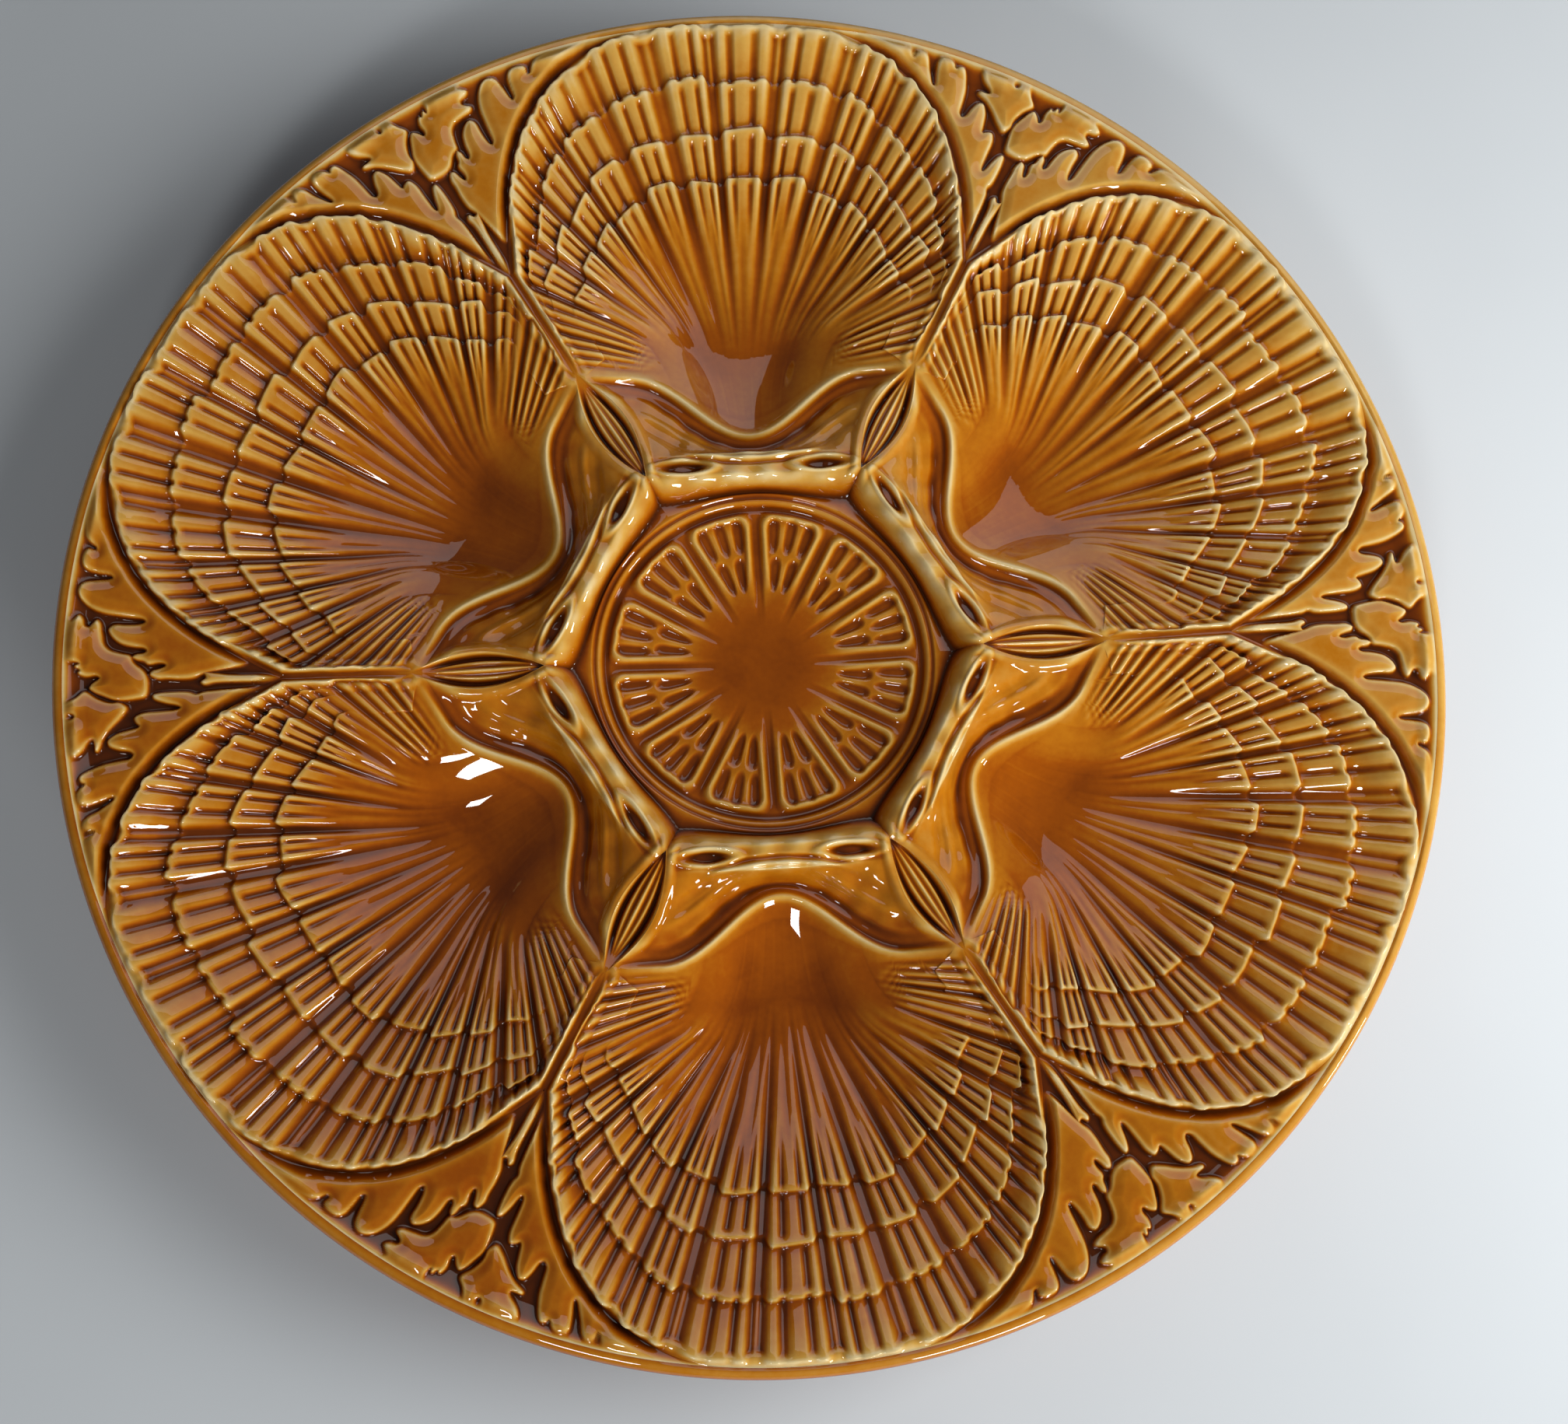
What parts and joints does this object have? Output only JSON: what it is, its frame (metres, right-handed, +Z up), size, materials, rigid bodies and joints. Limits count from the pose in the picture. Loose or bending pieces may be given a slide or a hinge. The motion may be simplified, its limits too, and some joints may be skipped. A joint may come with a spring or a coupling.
{
  "type": "oyster plate",
  "caption": "Round glazed earthenware oyster plate: scallop-shell wells round a central lemon dish, seaweed relief between the shells, a plain rim and a foot ring.",
  "frame": {"origin": "on the table under the plate's centre", "axes": "+Z up out of the plate, +Y towards the first shell well"},
  "size_m": [0.245, 0.245, 0.0276],
  "materials": {
    "amber_glaze": "gloss",
    "bare_clay": "matte"
  },
  "bodies": {
    "root": {"foot_ring": "bare_clay", "rim_band": "amber_glaze", "lemon_dish": "amber_glaze", "shell_well_1": "amber_glaze", "shell_well_2": "amber_glaze", "shell_well_3": "amber_glaze", "shell_well_4": "amber_glaze", "shell_well_5": "amber_glaze", "shell_well_6": "amber_glaze", "collar_1": "amber_glaze", "collar_2": "amber_glaze", "collar_3": "amber_glaze", "collar_4": "amber_glaze", "collar_5": "amber_glaze", "collar_6": "amber_glaze", "bud_1": "amber_glaze", "bud_2": "amber_glaze", "bud_3": "amber_glaze", "bud_4": "amber_glaze", "bud_5": "amber_glaze", "bud_6": "amber_glaze", "seaweed_1": "amber_glaze", "seaweed_2": "amber_glaze", "seaweed_3": "amber_glaze", "seaweed_4": "amber_glaze", "seaweed_5": "amber_glaze", "seaweed_6": "amber_glaze"}
  },
  "joints": []
}
